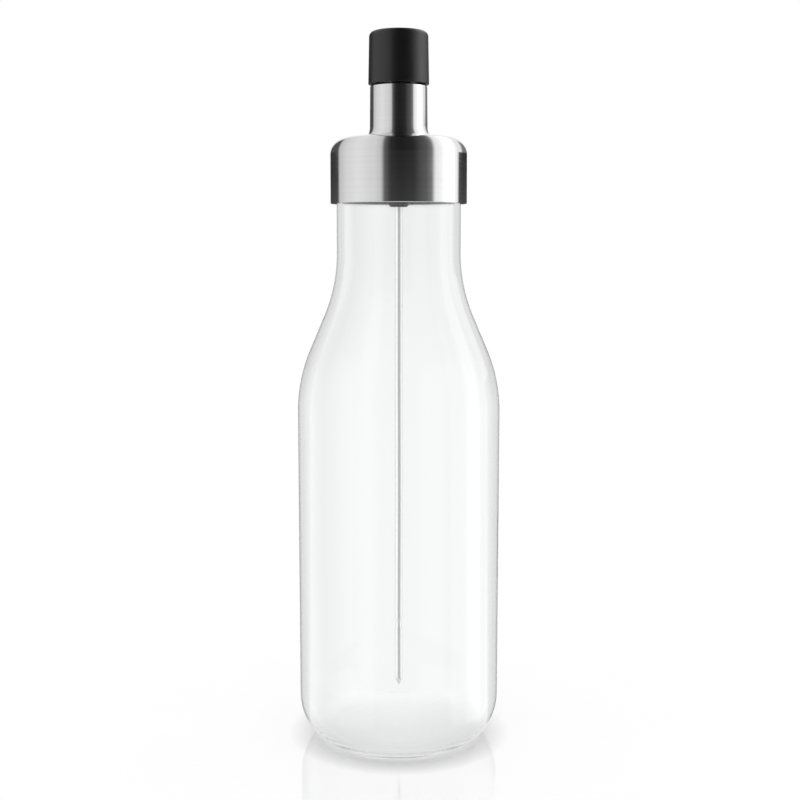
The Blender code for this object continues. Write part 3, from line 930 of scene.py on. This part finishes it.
# %% Let it mirror
MIRROR_ENDS, MIRROR_FRONT, MIRROR_STRENGTH = (0.062, 0.1), (0.03, -0.01), 0.47
gloss = add(tree, "BsdfGlossy", Color=(1, 1, 1, 1), Roughness=0.05)
slant = add(tree, "LayerWeight", Blend=0.5)
near = ranged(tree, far, *MIRROR_ENDS, (MIRROR_STRENGTH, 0.0), smooth=True)
polished = ranged(tree, along, *MIRROR_FRONT, smooth=True)
strong = worked(tree, "MULTIPLY", near, polished)
mirror = worked(tree, "MULTIPLY", strong, slant.outputs["Facing"])
sheen = add(tree, "MixShader", [(0, mirror), (1, shader.outputs[0]), (2, gloss.outputs[0])])
print("the floor mirrors up to", MIRROR_ENDS[1], "m from the axis")

# %% [markdown]
# Rays that were bent by glass or mirrored by steel see the floor under the bottle as one calm patch of
# painted light that glows by itself, brighter towards the back and darker at the sides. Beyond the foot
# these rays see no floor at all, only the studio, so no horizon crosses the glass. Seen by eye the floor
# fades out further away.

# %% Fade it into the studio
PATCH_DEPTH, PATCH_WIDTH = (-0.02, 0.036), (0.005, 0.032)
FLOOR_FADES, FLOOR_CUT = (0.14, 0.42), (0.026, 0.042)
ray = add(tree, "LightPath")
either = worked(tree, "MAXIMUM", ray.outputs["Is Glossy Ray"], ray.outputs["Is Transmission Ray"])
# Painted glow under the bottle: brighter towards the back, darker at the sides.
to_back = ranged(tree, along, *PATCH_DEPTH, (0.76, 1.07))
to_side = ranged(tree, worked(tree, "ABSOLUTE", across), *PATCH_WIDTH, (1.0, 0.88))
painted_glow = worked(tree, "MULTIPLY", to_back, to_side)
bright = add(tree, "Emission", [(0, painted_glow)])
face = add(tree, "MixShader", [(0, either), (1, sheen.outputs[0]), (2, bright.outputs[0])])
fade = ranged(tree, far, *FLOOR_FADES, smooth=True)
past = ranged(tree, far, *FLOOR_CUT, smooth=True)
in_mirror = worked(tree, "MULTIPLY", either, past)
cut = worked(tree, "MAXIMUM", fade, in_mirror)
through = add(tree, "BsdfTransparent")
faded = add(tree, "MixShader", [(0, cut), (1, face.outputs[0]), (2, through.outputs[0])])
tree.links.new(faded.outputs[0], tree.nodes["Material Output"].inputs["Surface"])
print("floor finish has", len(tree.nodes), "nodes")

# %% [markdown]
# ## Soft studio light
#
# Glass and steel are lit by what they mirror. A studio builds that from big soft panels and dark
# cloths. Here one world holds them all. Each is a stripe, set out by the angle of an upright surface
# that would mirror it to the camera, so it can be read straight off the steel: the ray's direction is
# (right, away, up), and that surface's angle is atan2(right, 1 - away).

# %% Start the studio
world = bpy.data.worlds.new("soft_studio")
bpy.context.scene.world = world
world.use_nodes = True
world.cycles.sampling_method = "NONE"
sky = world.node_tree
sky.nodes.clear()
look = add(sky, "TexCoord")
right, away, up = add(sky, "SeparateXYZ", [(0, look.outputs["Generated"])]).outputs
ahead = worked(sky, "SUBTRACT", 1.0, away)
tilt = worked(sky, "ARCTAN2", right, ahead)
print("world:", world.name)


# %% A ramp of light
def ramp(source, stops, reach, easing):
    """Light that changes with an angle from -reach to reach. stops are (degrees, level) rows."""
    share = ranged(sky, source, -radians(reach), radians(reach))
    made = add(sky, "ValToRGB", [(0, share)])
    made.color_ramp.interpolation = easing
    bar = made.color_ramp.elements
    for angle, level in stops[1:-1]:
        bar.new((angle + reach) / (2 * reach)).color = (level, level, level, 1)
    for end, (_, level) in zip((bar[0], bar[-1]), (stops[0], stops[-1])):
        end.color = (level, level, level, 1)
    print("stripes of light:", len(bar))
    return made.outputs[0]


# %% [markdown]
# From left to right the steel mirrors a dark cloth, a light panel, the dark room behind the camera, a
# bright panel and a dark cloth. A little light from the table lifts the foot of the steel.

# %% Panels and cloths
STRIPES = [
    (-90, 0.05),
    (-75, 0.035),
    (-61, 0.05),
    (-58.5, 0.70),
    (-46, 0.90),
    (-36, 0.98),
    (-21, 0.86),
    (-15, 0.72),
    (-11.5, 0.11),
    (-6, 0.027),
    (1, 0.017),
    (11, 0.025),
    (22, 0.10),
    (28, 0.20),
    (32, 1.10),
    (39, 1.25),
    (43, 2.1),
    (50, 2.1),
    (54, 1.25),
    (58, 1.10),
    (60.5, 0.05),
    (70, 0.035),
    (90, 0.05),
]
stripes = ramp(tilt, STRIPES, 90, "EASE")
glow = ranged(sky, up, 0.062, 0.02, (0.0, 0.045))
lit = mixed(sky, 1.0, stripes, glow, "ADD")

# %% [markdown]
# Higher up the cloths are a shade lighter, and the right one hangs further out, so the spout keeps
# thinner edges than the skirt.

# %% Cloths above the cover
UPPER = [(-90, 0.09), (-62, 0.09), (-60, 0.0), (57, 0.0), (59, 1.05), (64, 1.0), (67.5, 0.24), (90, 0.24)]
upper = ramp(tilt, UPPER, 90, "EASE")
aloft = ranged(sky, up, 0.072, 0.104, smooth=True)
lit = mixed(sky, aloft, lit, upper, "LIGHTEN")

# %% [markdown]
# The stripes run up to a white ceiling. It starts at the same slope all round the steel, so it is set
# by the surface too: up divided by the length of (right, 1 - away). What the table mirrors runs on
# away from the camera, where up divided by 1 - away is large, and that is white as well. Steeply
# below, everything is a pale grey.

# %% Ceiling, table and below
CEILING, BELOW = 1.0, 0.6
CEILING_STARTS, TABLE_STARTS, BELOW_STARTS = (2.2, 4.0), (2.6, 3.0), (-0.42, -0.6)
level_part = add(sky, "CombineXYZ", [(0, right), (1, ahead)])
sideways = add(sky, "VectorMath", [(0, level_part.outputs[0])], operation="LENGTH").outputs["Value"]
top = ranged(sky, worked(sky, "DIVIDE", up, sideways), *CEILING_STARTS, smooth=True)
forward = ranged(sky, worked(sky, "DIVIDE", up, ahead), *TABLE_STARTS, smooth=True)
white = worked(sky, "MAXIMUM", top, forward)
over = mixed(sky, white, lit, CEILING)
down = ranged(sky, up, *BELOW_STARTS, smooth=True)
mirrored = mixed(sky, down, over, BELOW)
print("the ceiling starts at a slope of", CEILING_STARTS[0])

# %% [markdown]
# ## The wall behind the glass
#
# A bottle of clear glass shows the wall behind it. The wall is lit unevenly on purpose: two bends turn
# each ray outwards, more so near the outline, so a darker field of the wall shows as a soft grey edge of
# the bottle and a bright one as its shine. The wall's angle is atan2(right, away), in degrees to
# either side. It darkens a little upwards, and towards the steep rays that leave through the foot.

# %% Light the wall
WALL = [
    (-40, 0.90),
    (-28, 0.96),
    (-17, 1.10),
    (-11, 0.96),
    (-8, 0.88),
    (-6, 0.88),
    (-4.8, 0.925),
    (-3.4, 0.955),
    (-2.4, 1.015),
    (-1.4, 1.09),
    (0, 1.11),
    (1.4, 1.10),
    (2.4, 1.03),
    (3.4, 0.985),
    (4.6, 0.935),
    (6, 0.945),
    (8, 0.985),
    (10, 0.95),
    (12, 0.92),
    (17, 1.12),
    (28, 0.96),
    (40, 0.90),
]
wall = ramp(worked(sky, "ARCTAN2", right, away), WALL, 40, "B_SPLINE")
high = ranged(sky, up, -0.12, 0.0, (1.0, 0.92), smooth=True)
steep = ranged(sky, up, -0.45, -0.75, (1.0, 0.88))
dimmer = worked(sky, "MULTIPLY", high, steep)
behind = add(sky, "VectorMath", [(0, wall), ("Scale", dimmer)], operation="SCALE").outputs[0]

# %% [markdown]
# ## Who sees what
#
# Light that is mirrored sees the panels, and light that is bent through the glass sees the wall. The
# skewer is steel behind glass: a ray passes two surfaces on its way in and two on its way out, four in
# all, and where it then heads forwards it sees the panels too, with less contrast. Dull surfaces are
# lit evenly from all round, and the camera itself sees plain white.

# %% Sort the rays
DULL_LIGHT, BACKDROP = 1.15, 1.0
ray = add(sky, "LightPath")
passes = ray.outputs["Transmission Depth"]
unbent = worked(sky, "COMPARE", passes, 0.0, 0.5)
within = worked(sky, "COMPARE", passes, 4.0, 0.5)
rod = worked(sky, "MULTIPLY", within, worked(sky, "LESS_THAN", away, 0.3))
softer = ranged(sky, mirrored, 0.0, 1.0, (0.52, 1.3))
panels = mixed(sky, within, mirrored, softer)
facing = worked(sky, "ADD", unbent, rod)
mirrors = worked(sky, "MULTIPLY", facing, ray.outputs["Glossy Depth"], use_clamp=True)
bent = mixed(sky, mirrors, behind, panels)
dull = mixed(sky, ray.outputs["Diffuse Depth"], bent, DULL_LIGHT)
seen = mixed(sky, ray.outputs["Is Camera Ray"], dull, BACKDROP)
backdrop = add(sky, "Background", [(0, seen)], Strength=1.0)
add(sky, "OutputWorld", [(0, backdrop.outputs[0])])
print("studio has", len(sky.nodes), "nodes")

# %% [markdown]
# Light can run round inside the glass of the heel many times before it leaves. A ray that is given
# up too early counts as black, so the heel would turn dark. Long paths are rare and cost little.

# %% Let light finish its way
LONGEST_PATH = 1024
bpy.context.scene.view_settings.view_transform = "Standard"
paths = bpy.context.scene.cycles
paths.max_bounces = LONGEST_PATH
paths.glossy_bounces = LONGEST_PATH
paths.transmission_bounces = LONGEST_PATH
print("longest path of light:", paths.max_bounces, "turns")

# %% [markdown]
# ## Camera
#
# The photograph looks almost level from the height of the neck, so the cap is seen a little from below
# and the foot from above. The camera stands there, leans down to the middle of the bottle, and shifts
# its film by a hair to frame it.

# %% Stand the camera
CAMERA_BACK, CAMERA_HEIGHT, CAMERA_LEAN = 0.440, 0.180, 6.76
IMAGE_SIDE, LENS_PIXELS, SHIFT_PIXELS, SHIFT_ASIDE = 800, 1238.1, -15, 0.0016
FILM_WIDTH = 36
lens = bpy.data.cameras.new("camera")
lens.lens = FILM_WIDTH * LENS_PIXELS / IMAGE_SIDE
lens.shift_x, lens.shift_y = SHIFT_ASIDE, SHIFT_PIXELS / IMAGE_SIDE
lens.clip_start = 0.01
camera = bpy.data.objects.new("camera", lens)
camera.location = (0, -CAMERA_BACK, CAMERA_HEIGHT)
camera.rotation_euler = (radians(90 - CAMERA_LEAN), 0, 0)
bpy.context.scene.collection.objects.link(camera)
bpy.context.scene.camera = camera
met = CAMERA_HEIGHT - CAMERA_BACK * tan(radians(CAMERA_LEAN))
print("the camera's middle line meets the axis at", round(met * 1000, 1), "mm")
